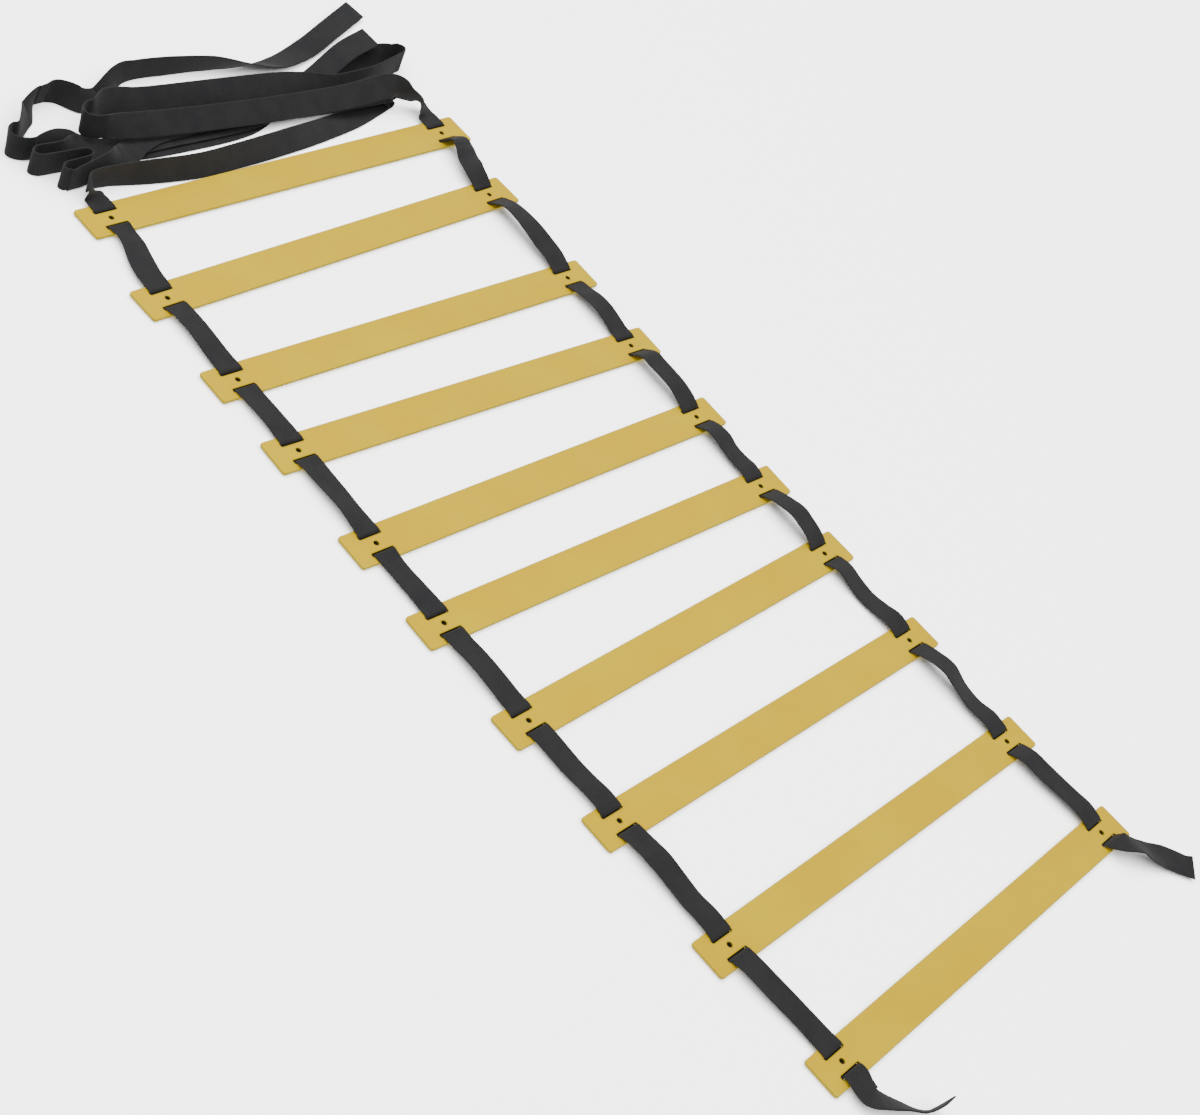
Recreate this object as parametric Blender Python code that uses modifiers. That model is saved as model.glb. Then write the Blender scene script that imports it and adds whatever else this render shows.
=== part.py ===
"""Agility ladder: ten flat plastic rungs threaded on two webbing straps.

Metres, +Z up. The rungs lie along Y and the ladder runs along X: rung 1, with the surplus webbing
folded up behind it, is at -X, and rung 10, with the straps' two short free ends, is at +X. The
origin is on the floor, under the middle of the ladder's box without its loose webbing. Left is -Y
and right is +Y, as seen by someone who stands at rung 10 and looks along the ladder.
"""

import math

import bmesh
import bpy
import numpy as np
from mathutils import Matrix, Vector

# Rung
RUNG_COUNT = 10
RUNG_LENGTH = 0.400
RUNG_WIDTH = 0.030
RUNG_THICKNESS = 0.0020
RUNG_CORNER = 0.0025
SLOT_INSET = 0.0240  # from the rung's end to the middle of its slots
SLOT_CORNER = 0.0010
BRIDGE_WIDTH = 0.0132  # the plastic left between the two slots of a pair
PEEPHOLE_DIAMETER = 0.0036  # the small hole in the middle of the bridge

# Webbing
WEB_WIDTH = 0.0200
WEB_THICKNESS = 0.0012
WEB_BEND = 0.0015  # radius of the webbing's middle where it turns through a slot
WEB_OVERHANG = 0.0025  # how far a threaded length runs on past the rung's edge
SLOT_SPARE = 0.0008  # slot left free at each edge of the webbing

# Fits
SEAT = 0.0003  # clearance between pieces that touch

# How the ladder lies: along it, across it, and turned, rung by rung from rung 1
SPREAD = 0.785  # from rung 1 to rung 10
STATION_SHARES = (0.0, 0.100, 0.218, 0.314, 0.423, 0.520, 0.624, 0.741, 0.876, 1.0)
DRIFT_SHARES = (0.0, -0.025, -0.025, -0.026, -0.030, -0.032, -0.031, -0.024, -0.019, 0.0)
YAW_DEG = (1.1, 2.4, -0.4, -1.9, -0.6, -1.0, 1.5, 0.9, 1.1, 1.9)

# How high the webbing arches between rungs, and how far it rolls on its length, gap by gap
ARCH_HEIGHT = 0.0100
LEFT_ARCH_SHARES = (0.45, 0.35, 0.35, 0.50, 0.40, 0.55, 0.45, 0.60, 0.45)
RIGHT_ARCH_SHARES = (0.85, 0.95, 0.75, 0.95, 0.85, 1.00, 0.95, 0.90, 0.50)
LEFT_ROLL_DEG = (0, 6, -5, 8, -6, 7, 5, 9, 6)
RIGHT_ROLL_DEG = (-14, 12, -12, 10, 16, -10, 15, 24, 8)

# Loose webbing. A lead's points are (across, behind, height, turn): across the ladder from rung 1's
# middle, behind rung 1's middle, above the floor, and how far the webbing's width has turned up
# from lying flat. A run's points are (across, front, lift, lean): where the webbing's front edge
# is behind rung 1's middle, how far its lowest corner is off the floor, and the angle that the
# webbing leans up from lying flat. The runs of a strap follow each other, joined by hairpins.
LEFT_LEAD = (
    (-0.1762, 0.0208, 0.0086, 47),
    (-0.1768, 0.0273, 0.0099, 81),
    (-0.1706, 0.0293, 0.0105, 101),
)
LEFT_RUNS = (
    (
        (-0.1540, 0.0286, 0.0003, 88),
        (-0.1200, 0.0215, 0.0003, 70),
        (-0.0750, 0.0160, 0.0003, 58),
        (-0.0250, 0.0172, 0.0003, 48),
        (0.0200, 0.0200, 0.0003, 36),
        (0.0600, 0.0240, 0.0003, 18),
        (0.1000, 0.0300, 0.0003, 4),
        (0.1300, 0.0375, 0.0003, 1),
        (0.1490, 0.0430, 0.0003, 1),
    ),
    (
        (0.1490, 0.0445, 0.0063, 1),
        (0.1250, 0.0450, 0.0067, 1),
        (0.0950, 0.0455, 0.0069, 1),
        (0.0550, 0.0490, 0.0053, 2),
        (0.0000, 0.0555, 0.0043, 0),
        (-0.0750, 0.0555, 0.0043, 0),
        (-0.1040, 0.0495, 0.0043, 2),
        (-0.1190, 0.0420, 0.0044, 4),
        (-0.1320, 0.0360, 0.0045, 22),
        (-0.1500, 0.0350, 0.0020, 66),
        (-0.1860, 0.0330, 0.0003, 88),
    ),
    (
        (-0.1860, 0.0415, 0.0003, 86),
        (-0.1680, 0.0430, 0.0003, 88),
    ),
    (
        (-0.1680, 0.0513, 0.0003, 88),
        (-0.1980, 0.0520, 0.0003, 86),
    ),
    (
        (-0.1980, 0.0620, 0.0003, 86),
        (-0.1780, 0.0600, 0.0003, 82),
        (-0.1600, 0.0560, 0.0014, 32),
        (-0.1470, 0.0530, 0.0021, 12),
        (-0.1200, 0.0500, 0.0023, 3),
        (-0.0750, 0.0500, 0.0023, 0),
        (0.0000, 0.0505, 0.0023, 0),
        (0.0500, 0.0600, 0.0022, 4),
        (0.1000, 0.0780, 0.0050, 6),
        (0.1400, 0.0910, 0.0140, 8),
        (0.1740, 0.0980, 0.0180, 8),
    ),
)
RIGHT_LEAD = (
    (0.1749, 0.0286, 0.0074, 27),
    (0.1713, 0.0348, 0.0131, 49),
    (0.1617, 0.0429, 0.0158, 59),
)
RIGHT_RUNS = (
    (
        (0.1441, 0.0420, 0.0145, 46),
        (0.1000, 0.0430, 0.0110, 41),
        (0.0500, 0.0470, 0.0080, 40),
        (0.0000, 0.0500, 0.0080, 40),
        (-0.0750, 0.0560, 0.0085, 42),
        (-0.1200, 0.0610, 0.0096, 52),
        (-0.1360, 0.0660, 0.0106, 80),
    ),
    (
        (-0.1340, 0.0840, 0.0106, 78),
        (-0.1180, 0.0880, 0.0100, 58),
        (-0.1000, 0.0875, 0.0085, 47),
        (-0.0750, 0.0850, 0.0064, 43),
        (0.0000, 0.0785, 0.0070, 37),
        (0.0500, 0.0735, 0.0075, 34),
        (0.0800, 0.0690, 0.0055, 42),
        (0.1100, 0.0655, 0.0008, 55),
        (0.1500, 0.0720, 0.0003, 80),
        (0.1880, 0.0812, 0.0003, 84),
    ),
    (
        (0.1900, 0.0925, 0.0003, 82),
        (0.1690, 0.0895, 0.0003, 24),
        (0.1500, 0.0880, 0.0003, 10),
        (0.1000, 0.0800, 0.0003, 4),
        (0.0500, 0.0660, 0.0003, 3),
        (0.0000, 0.0470, 0.0003, 0),
        (-0.0750, 0.0445, 0.0003, 0),
        (-0.1200, 0.0480, 0.0003, 0),
        (-0.1470, 0.0600, 0.0003, 8),
        (-0.1620, 0.0655, 0.0003, 30),
        (-0.1960, 0.0690, 0.0003, 84),
    ),
    (
        (-0.1960, 0.0860, 0.0003, 76),
        (-0.1765, 0.0990, 0.0010, 46),
        (-0.1598, 0.1188, 0.0003, 96),
    ),
    (
        (-0.1485, 0.1212, 0.0003, 92),
        (-0.1384, 0.1172, 0.0003, 74),
        (-0.1229, 0.1024, 0.0003, 38),
        (-0.1044, 0.1009, 0.0003, 24),
        (-0.0808, 0.1209, 0.0003, 68),
        (-0.0620, 0.1275, 0.0003, 88),
        (-0.0300, 0.1255, 0.0003, 92),
        (0.0100, 0.1180, 0.0003, 105),
        (0.0450, 0.1060, 0.0003, 135),
        (0.0800, 0.1040, 0.0010, 165),
        (0.1200, 0.1140, 0.0020, 185),
        (0.1600, 0.1290, 0.0030, 188),
        (0.2040, 0.1465, 0.0030, 188),
    ),
)
HAIRPIN_REACH_SHARE = 1.7  # how far a hairpin reaches past its runs, in half its own width
# The straps' short free ends. Every point is (beyond, across, height, lean): beyond rung 10's
# middle, across the ladder from it, above the floor, and the lean as above.
LEFT_TAIL = (
    (0.0345, -0.1786, 0.0070, 22),
    (0.0420, -0.1822, 0.0096, 54),
    (0.0485, -0.1800, 0.0108, 78),
    (0.0545, -0.1730, 0.0108, 90),
    (0.0612, -0.1590, 0.0112, 94),
    (0.0662, -0.1425, 0.0120, 90),
)
RIGHT_TAIL = (
    (0.0215, 0.1790, 0.0068, 22),
    (0.0285, 0.1860, 0.0092, 44),
    (0.0350, 0.1960, 0.0084, 30),
    (0.0430, 0.2060, 0.0058, 8),
    (0.0520, 0.2155, 0.0056, -3),
    (0.0590, 0.2225, 0.0092, -8),
)

# Facets
ARC_STEPS = 3  # in a quarter of a rung's or a slot's corner
PEEPHOLE_STEPS = 12
BEND_STEPS = 3  # in each quarter turn of webbing through a slot
SPAN_STEPS = 14
HAIRPIN_STEPS = 6
RUN_STEPS = 3  # between two points of a run
TAIL_STEPS = 3

# Worked out
WEB_UNDER = WEB_THICKNESS / 2  # height of the webbing's middle under a bridge
RUNG_BOTTOM = WEB_THICKNESS + SEAT
RUNG_MIDDLE = RUNG_BOTTOM + RUNG_THICKNESS / 2
WEB_OVER = RUNG_BOTTOM + RUNG_THICKNESS + SEAT + WEB_THICKNESS / 2
SLOT_WIDTH = 2 * WEB_BEND
SLOT_MIDDLE = BRIDGE_WIDTH / 2 + WEB_BEND  # from the rung's middle line
SLOT_LENGTH = WEB_WIDTH + 2 * SLOT_SPARE
STRAP_PLACE = RUNG_LENGTH / 2 - SLOT_INSET  # a strap's middle, from the rung's middle
THREAD_END = RUNG_WIDTH / 2 + WEB_OVERHANG
FOLD_PLACE = THREAD_END + SEAT / 2  # fold axis, from the rung's middle line
SPAN_START = THREAD_END + SEAT
SIDES = (("left", -1), ("right", 1))


def reach_along(yaw):
    """Half a turned rung's extent along X, with its threaded webbing."""
    inner_length = RUNG_LENGTH / 2 - RUNG_CORNER
    inner_width = RUNG_WIDTH / 2 - RUNG_CORNER
    rung = inner_length * abs(math.sin(yaw)) + inner_width * math.cos(yaw) + RUNG_CORNER
    outer_edge = STRAP_PLACE + WEB_WIDTH / 2
    webbing = THREAD_END * math.cos(yaw) + outer_edge * abs(math.sin(yaw))
    return max(rung, webbing)


def reach_across(yaw):
    """Half a turned rung's extent along Y."""
    inner_length = RUNG_LENGTH / 2 - RUNG_CORNER
    inner_width = RUNG_WIDTH / 2 - RUNG_CORNER
    return inner_length * math.cos(yaw) + inner_width * abs(math.sin(yaw)) + RUNG_CORNER


def rung_places():
    """Each rung's (x, y, yaw), with the origin in the middle of the ladder's footprint."""
    yaws = [math.radians(angle) for angle in YAW_DEG]
    along = [share * SPREAD for share in STATION_SHARES]
    across = [share * RUNG_LENGTH for share in DRIFT_SHARES]
    rear = along[0] - reach_along(yaws[0])
    front = along[-1] + reach_along(yaws[-1])
    low = min(y - reach_across(yaw) for y, yaw in zip(across, yaws))
    high = max(y + reach_across(yaw) for y, yaw in zip(across, yaws))
    middle_x = (rear + front) / 2
    middle_y = (low + high) / 2
    return [(x - middle_x, y - middle_y, yaw) for x, y, yaw in zip(along, across, yaws)]


PLACES = rung_places()


def rung_frame(index):
    """The matrix that carries a rung's own axes, at its middle on the floor, to where it lies."""
    x, y, yaw = PLACES[index]
    return Matrix.Translation((x, y, 0)) @ Matrix.Rotation(yaw, 4, "Z")


def clear_scene():
    for old in list(bpy.data.objects):
        bpy.data.objects.remove(old)


def new_collection(name):
    collection = bpy.data.collections.new(name)
    bpy.context.scene.collection.children.link(collection)
    return collection


def new_material(name, colour, roughness):
    material = bpy.data.materials.new(name)
    material.use_nodes = True
    shader = material.node_tree.nodes["Principled BSDF"]
    shader.inputs["Base Color"].default_value = (*colour, 1)
    shader.inputs["Roughness"].default_value = roughness
    shader.inputs["Metallic"].default_value = 0
    material.diffuse_color = (*colour, 1)
    return material


def rounded_rectangle(middle_x, middle_y, size_x, size_y, corner, steps):
    """Points round a rectangle with quarter-round corners, anticlockwise."""
    points = []
    quarters = ((1, 1, 0), (-1, 1, 1), (-1, -1, 2), (1, -1, 3))
    for sign_x, sign_y, quarter in quarters:
        centre_x = middle_x + sign_x * (size_x / 2 - corner)
        centre_y = middle_y + sign_y * (size_y / 2 - corner)
        for step in range(steps + 1):
            angle = math.pi / 2 * (quarter + step / steps)
            x = centre_x + corner * math.cos(angle)
            y = centre_y + corner * math.sin(angle)
            points.append((x, y))
    return points


def circle(middle_x, middle_y, radius, steps):
    """Points round a circle."""
    turns = [2 * math.pi * step / steps for step in range(steps)]
    return [
        (middle_x + radius * math.cos(turn), middle_y + radius * math.sin(turn)) for turn in turns
    ]


def flat_plate(name, outlines, thickness):
    """A plate, centred on z = 0, whose first outline is its edge and whose others are holes."""
    curve = bpy.data.curves.new(name, "CURVE")
    curve.dimensions = "2D"
    curve.fill_mode = "BOTH"
    curve.extrude = thickness / 2
    for outline in outlines:
        spline = curve.splines.new("POLY")
        spline.points.add(len(outline) - 1)
        for point, (x, y) in zip(spline.points, outline):
            point.co = (x, y, 0, 1)
        spline.use_cyclic_u = True
    source = bpy.data.objects.new(name, curve)
    bpy.context.scene.collection.objects.link(source)
    bpy.context.view_layer.update()
    evaluated = source.evaluated_get(bpy.context.evaluated_depsgraph_get())
    mesh = bpy.data.meshes.new_from_object(evaluated)
    bpy.data.objects.remove(source)
    work = bmesh.new()
    work.from_mesh(mesh)
    bmesh.ops.remove_doubles(work, verts=work.verts, dist=SEAT / 100)
    bmesh.ops.recalc_face_normals(work, faces=work.faces)
    work.to_mesh(mesh)
    work.free()
    mesh.name = name
    return mesh


def rung_mesh():
    """The slat: a rounded plate with a pair of slots and a peephole at each end."""
    outlines = [rounded_rectangle(0, 0, RUNG_WIDTH, RUNG_LENGTH, RUNG_CORNER, ARC_STEPS)]
    for _, side in SIDES:
        strap_y = side * STRAP_PLACE
        for end in (-1, 1):
            slot_x = end * SLOT_MIDDLE
            outlines.append(
                rounded_rectangle(slot_x, strap_y, SLOT_WIDTH, SLOT_LENGTH, SLOT_CORNER, ARC_STEPS)
            )
        outlines.append(circle(0, strap_y, PEEPHOLE_DIAMETER / 2, PEEPHOLE_STEPS))
    return flat_plate("rung", outlines, RUNG_THICKNESS)


def webbing_mesh(name, centres, widths):
    """Webbing along a route: a strip as wide as the webbing, whose wall Solidify gives it later.

    centres are the points of its middle line and widths the unit vectors across it.
    """
    work = bmesh.new()
    steps = len(centres) - 1
    bmesh.ops.create_grid(work, x_segments=steps, y_segments=1, size=1)
    for vert in work.verts:
        step = round((vert.co.x + 1) / 2 * steps)
        edge = vert.co.y * WEB_WIDTH / 2
        vert.co = centres[step] + edge * widths[step]
    mesh = bpy.data.meshes.new(name)
    work.to_mesh(mesh)
    work.free()
    return mesh


def add_object(name, mesh, material, collection):
    item = bpy.data.objects.new(name, mesh)
    if not mesh.materials:
        mesh.materials.append(material)
    collection.objects.link(item)
    return item


def add_webbing(name, centres, widths, origin, material, collection):
    """Webbing with its wall, placed with its own origin at a point that is given."""
    start = origin.inverted()
    turned = start.to_3x3()
    mesh = webbing_mesh(name, [start @ p for p in centres], [turned @ w for w in widths])
    item = add_object(name, mesh, material, collection)
    item.matrix_world = origin
    wall = item.modifiers.new("wall", "SOLIDIFY")
    wall.thickness = WEB_THICKNESS
    wall.offset = 0
    wall.use_even_offset = True
    return item


def bend(centre_x, centre_z, first, last):
    """Points of a quarter turn in the plane of X and Z, between two angles in quarters."""
    angles = [math.pi / 2 * (first + (last - first) * s / BEND_STEPS) for s in range(BEND_STEPS + 1)]
    return [
        (centre_x + WEB_BEND * math.cos(angle), centre_z + WEB_BEND * math.sin(angle))
        for angle in angles
    ]


def threaded_profile():
    """The webbing's middle line through a rung: over an edge, down a slot, under the bridge,
    up the other slot and over the other edge, in the rung's own X and Z."""
    half = [(0.0, WEB_UNDER)]
    half += bend(BRIDGE_WIDTH / 2, WEB_UNDER + WEB_BEND, -1, 0)
    half += bend(SLOT_MIDDLE + WEB_BEND, WEB_OVER - WEB_BEND, 2, 1)
    half.append((RUNG_WIDTH / 2, WEB_OVER))
    half.append((THREAD_END, WEB_OVER))
    mirrored = [(-x, z) for x, z in reversed(half[1:])]
    return mirrored + half


def add_threaded(index, side_name, side, parent_frame, material, collection):
    """The length of a strap that is threaded through one rung."""
    frame = rung_frame(index)
    across = (frame.to_3x3() @ Vector((0, 1, 0))).normalized()
    centres = [frame @ Vector((x, side * STRAP_PLACE, z)) for x, z in threaded_profile()]
    name = f"{side_name}_webbing_at_rung_{index + 1}"
    return add_webbing(name, centres, [across] * len(centres), parent_frame, material, collection)


def span_route(index, side_name, side):
    """A strap's middle line and widths between rung index and the next one.

    The plan is a cubic between the two rungs' own directions. The arch rises and falls with
    16 s^2 (1 - s)^2, which starts and ends level, and the roll follows the same share.
    """
    first, second = rung_frame(index), rung_frame(index + 1)
    start = first @ Vector((SPAN_START, side * STRAP_PLACE, WEB_OVER))
    end = second @ Vector((-SPAN_START, side * STRAP_PLACE, WEB_OVER))
    length = (end - start).length
    leave = first.to_3x3() @ Vector((length, 0, 0))
    arrive = second.to_3x3() @ Vector((length, 0, 0))
    across_first = first.to_3x3() @ Vector((0, 1, 0))
    across_second = second.to_3x3() @ Vector((0, 1, 0))
    arches = LEFT_ARCH_SHARES if side < 0 else RIGHT_ARCH_SHARES
    rolls = LEFT_ROLL_DEG if side < 0 else RIGHT_ROLL_DEG
    centres, sides = [], []
    for step in range(SPAN_STEPS + 1):
        s = step / SPAN_STEPS
        swell = 16 * s**2 * (1 - s) ** 2
        point = (2 * s**3 - 3 * s**2 + 1) * start + (s**3 - 2 * s**2 + s) * leave
        point += (3 * s**2 - 2 * s**3) * end + (s**3 - s**2) * arrive
        point.z += ARCH_HEIGHT * arches[index] * swell
        roll = math.radians(rolls[index]) * swell
        centres.append(point)
        flat = across_first.lerp(across_second, s).normalized()
        sides.append(flat * math.cos(roll) + Vector((0, 0, 1)) * math.sin(roll))
    return centres, square_to_route(centres, sides, False)


def square_to_route(centres, widths, free_end):
    """The widths turned square to the route at each point, except at an end that is threaded."""
    squared = [widths[0]]
    for step in range(1, len(centres) - 1):
        ahead = (centres[step + 1] - centres[step - 1]).normalized()
        squared.append((widths[step] - widths[step].dot(ahead) * ahead).normalized())
    ahead = (centres[-1] - centres[-2]).normalized()
    end_width = widths[-1] - widths[-1].dot(ahead) * ahead
    squared.append(end_width.normalized() if free_end else widths[-1])
    return squared


def leaning(angle_deg):
    """The direction across webbing that runs along Y and leans back, towards -X."""
    angle = math.radians(angle_deg)
    return Vector((-math.cos(angle), 0, math.sin(angle)))


def behind_rung_1(across, behind, height):
    x, y, _ = PLACES[0]
    return Vector((x - behind, y + across, height))


def middle_of(across, front, lift, lean):
    """The webbing's middle, from its front edge and the clearance under its lowest corner."""
    angle = math.radians(lean)
    behind = front + WEB_WIDTH / 2 * abs(math.cos(angle))
    height = lift + WEB_WIDTH / 2 * abs(math.sin(angle))
    return across, behind, height + WEB_THICKNESS / 2 * abs(math.cos(angle)), lean


def hairpin(before, after, outwards):
    """Points of half an ellipse from the end of one run to the start of the next."""
    across_a, behind_a, height_a, lean_a = before
    across_b, behind_b, height_b, lean_b = after
    reach = outwards * HAIRPIN_REACH_SHARE * math.hypot(behind_b - behind_a, height_b - height_a) / 2
    points = []
    for step in range(1, HAIRPIN_STEPS):
        angle = math.pi * (step / HAIRPIN_STEPS - 1 / 2)
        share = (1 + math.sin(angle)) / 2
        points.append(
            (
                across_a + (across_b - across_a) * share + reach * math.cos(angle),
                behind_a + (behind_b - behind_a) * share,
                height_a + (height_b - height_a) * share,
                lean_a + (lean_b - lean_a) * share,
            )
        )
    return points


def smooth_route(points, widths, steps_between):
    """A Catmull-Rom curve through the points, kept off the floor, with its widths eased."""
    ghost_first = points[0] * 2 - points[1]
    ghost_last = points[-1] * 2 - points[-2]
    padded = [ghost_first, *points, ghost_last]
    centres, sides = [points[0]], [widths[0]]
    for index, steps in enumerate(steps_between):
        a, b, c, d = padded[index : index + 4]
        for step in range(1, steps + 1):
            s = step / steps
            point = 2 * b + (c - a) * s + (2 * a - 5 * b + 4 * c - d) * s**2
            point += (3 * b - a - 3 * c + d) * s**3
            centres.append(point / 2)
            sides.append(widths[index].lerp(widths[index + 1], s).normalized())
    sides = square_to_route(centres, sides, True)
    for centre, side in zip(centres, sides):
        drop = WEB_WIDTH / 2 * abs(side.z) + WEB_THICKNESS / 2 * math.sqrt(1 - side.z**2)
        centre.z = max(centre.z, drop + SEAT)
    return centres, square_to_route(centres, sides, True)


def hank_route(side, lead, runs):
    """A strap's surplus: out of rung 1's rear slot, up, and back and forth in its runs."""
    frame = rung_frame(0)
    start = frame @ Vector((-SPAN_START, side * STRAP_PLACE, WEB_OVER))
    straight = frame @ Vector((-SPAN_START - 2 * WEB_THICKNESS, side * STRAP_PLACE, WEB_OVER))
    flat = (frame.to_3x3() @ Vector((0, -1, 0))).normalized()
    points, widths, steps = [start, straight], [flat, flat], [1]
    for across, behind, height, lean in lead:
        points.append(behind_rung_1(across, behind, height))
        turned = math.radians(lean)
        widths.append(flat * math.cos(turned) + Vector((0, 0, 1)) * math.sin(turned))
        steps.append(RUN_STEPS)
    middles = [[middle_of(*place) for place in run] for run in runs]
    for number, run in enumerate(middles):
        if number:
            ended = middles[number - 1]
            outwards = 1 if ended[-1][0] > ended[-2][0] else -1
            for across, behind, height, lean in hairpin(ended[-1], run[0], outwards):
                points.append(behind_rung_1(across, behind, height))
                widths.append(leaning(lean))
                steps.append(1)
        for position, (across, behind, height, lean) in enumerate(run):
            points.append(behind_rung_1(across, behind, height))
            widths.append(leaning(lean))
            steps.append(1 if number and position == 0 else RUN_STEPS)
    return smooth_route(points, widths, steps)


def tail_route(side, tail):
    """A strap's short free end, past rung 10."""
    frame = rung_frame(RUNG_COUNT - 1)
    start = frame @ Vector((SPAN_START, side * STRAP_PLACE, WEB_OVER))
    straight = frame @ Vector((SPAN_START + 2 * WEB_THICKNESS, side * STRAP_PLACE, WEB_OVER))
    flat = (frame.to_3x3() @ Vector((0, 1, 0))).normalized()
    x, y, _ = PLACES[-1]
    points = [start, straight]
    points += [Vector((x + beyond, y + across, height)) for beyond, across, height, _ in tail]
    widths = [flat, flat]
    for position, (_, _, _, lean) in enumerate(tail):
        ahead = points[min(position + 3, len(points) - 1)] - points[position + 1]
        level = Vector((-ahead.y, ahead.x, 0)).normalized()
        turned = math.radians(lean)
        widths.append(level * math.cos(turned) + Vector((0, 0, 1)) * math.sin(turned))
    return smooth_route(points, widths, [1] + [TAIL_STEPS] * len(tail))


def route_length(centres):
    return sum((b - a).length for a, b in zip(centres, centres[1:]))


def least_self_gap(centres, widths):
    """The least clear gap between lengths of one strap that aren't neighbours along it."""
    rows = np.array([[c + w * (WEB_WIDTH / 2 * e) for e in (-1, -0.5, 0, 0.5, 1)]
                     for c, w in zip(centres, widths)])
    rows = np.concatenate([rows[:-1] + (rows[1:] - rows[:-1]) * s for s in (0, 1 / 3, 2 / 3)])
    steps = [(b - a).length for a, b in zip(centres, centres[1:])]
    starts = np.concatenate([[0], np.cumsum(steps)[:-1]])
    along = np.concatenate([starts + np.array(steps) * s for s in (0, 1 / 3, 2 / 3)])
    points = rows.reshape(-1, 3)
    place = np.repeat(along, rows.shape[1])
    least = math.inf
    for point, at in zip(points, place):
        far = np.abs(place - at) > 2 * WEB_WIDTH
        least = min(least, np.linalg.norm(points[far] - point, axis=1).min(initial=math.inf))
    return least - WEB_THICKNESS


def fold_frame(index):
    """A frame at the rear edge of a rung, on the line where the webbing folds before it."""
    return rung_frame(index) @ Matrix.Translation((-FOLD_PLACE, 0, WEB_OVER))


def add_axis(name, matrix, guides):
    axis = bpy.data.objects.new(name, None)
    axis.empty_display_size = RUNG_WIDTH
    axis.matrix_world = matrix
    guides.objects.link(axis)
    return axis


def build():
    clear_scene()
    parts = new_collection("Agility ladder")
    guides = new_collection("Guides")
    plastic = new_material("yellow plastic", (0.97, 0.62, 0.04), 0.45)
    webbing = new_material("black webbing", (0.022, 0.023, 0.025), 0.85)
    slat = rung_mesh()

    for index in range(RUNG_COUNT):
        frame = rung_frame(index)
        carrier = frame if index == 0 else fold_frame(index)
        rung = add_object(f"rung_{index + 1}", slat, plastic, parts)
        pieces = [rung]
        rung.matrix_world = frame @ Matrix.Translation((0, 0, RUNG_MIDDLE))
        for side_name, side in SIDES:
            pieces.append(add_threaded(index, side_name, side, carrier, webbing, parts))
        if index:
            axis = add_axis(f"fold_axis_{index}", carrier, guides)
            bpy.context.view_layer.update()
            for piece in pieces:
                placed = piece.matrix_world.copy()
                piece.parent = axis
                piece.matrix_parent_inverse = axis.matrix_world.inverted()
                piece.matrix_world = placed
            point = axis.matrix_world.translation
            line = axis.matrix_world.to_3x3() @ Vector((0, 1, 0))
            print(f"fold {index}: point {point[:]}, axis {line[:]}")

    for index in range(RUNG_COUNT - 1):
        for side_name, side in SIDES:
            centres, widths = span_route(index, side_name, side)
            name = f"{side_name}_webbing_{index + 1}_to_{index + 2}"
            origin = Matrix.Translation(centres[0])
            add_webbing(name, centres, widths, origin, webbing, parts)

    loose = (
        ("left", -1, LEFT_LEAD, LEFT_RUNS, LEFT_TAIL),
        ("right", 1, RIGHT_LEAD, RIGHT_RUNS, RIGHT_TAIL),
    )
    for side_name, side, lead, runs, tail in loose:
        centres, widths = hank_route(side, lead, runs)
        origin = Matrix.Translation(centres[0])
        add_webbing(f"{side_name}_webbing_bundle", centres, widths, origin, webbing, parts)
        gap = least_self_gap(centres, widths)
        print(f"{side_name} bundle: length {route_length(centres):.3f}, least gap {gap:.5f}")
        centres, widths = tail_route(side, tail)
        origin = Matrix.Translation(centres[0])
        add_webbing(f"{side_name}_webbing_tail", centres, widths, origin, webbing, parts)
        print(f"{side_name} tail: length {route_length(centres):.3f}")
    print("rung places", [tuple(round(v, 5) for v in place) for place in PLACES])


build()
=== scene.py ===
"""The looks of the agility ladder: its plastic slats, its two webbing straps and their finishes.

Lengths are in metres where a name says nothing else, in the model's own frame: the ladder runs
along X, its rungs lie along Y, Z is up, and the floor is at zero. Left is -Y.
"""

import math

import bpy
import numpy as np
from mathutils import Matrix, Vector
from mathutils.geometry import tessellate_polygon


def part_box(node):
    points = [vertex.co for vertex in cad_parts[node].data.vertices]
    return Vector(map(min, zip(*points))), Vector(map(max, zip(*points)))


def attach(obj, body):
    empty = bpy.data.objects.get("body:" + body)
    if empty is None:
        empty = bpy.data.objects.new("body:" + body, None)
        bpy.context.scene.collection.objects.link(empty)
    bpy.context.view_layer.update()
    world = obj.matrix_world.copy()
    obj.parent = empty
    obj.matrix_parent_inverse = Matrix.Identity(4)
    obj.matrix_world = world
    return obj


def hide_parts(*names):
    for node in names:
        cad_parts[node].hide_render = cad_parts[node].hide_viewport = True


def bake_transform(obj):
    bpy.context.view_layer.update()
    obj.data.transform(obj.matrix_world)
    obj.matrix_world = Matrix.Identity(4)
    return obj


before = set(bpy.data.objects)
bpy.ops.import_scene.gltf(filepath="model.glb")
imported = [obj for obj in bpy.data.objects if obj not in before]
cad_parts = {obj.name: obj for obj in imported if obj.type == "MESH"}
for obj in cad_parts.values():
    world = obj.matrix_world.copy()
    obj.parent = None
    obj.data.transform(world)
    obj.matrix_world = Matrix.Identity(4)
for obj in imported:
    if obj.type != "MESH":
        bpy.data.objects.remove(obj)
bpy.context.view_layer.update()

# Photograph and camera
PHOTO_WIDTH = 1200
FOCAL_LENGTH_PX = 2254.5
SENSOR_WIDTH_MM = 36.0
CAMERA_PLACE = (0.4771, -1.1712, 1.0508)
CAMERA_AZIMUTH_DEG = 21.915
CAMERA_DOWN_DEG = 40.262
CAMERA_ROLL_DEG = 33.421
CAMERA_NEAR = 0.01

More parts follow.
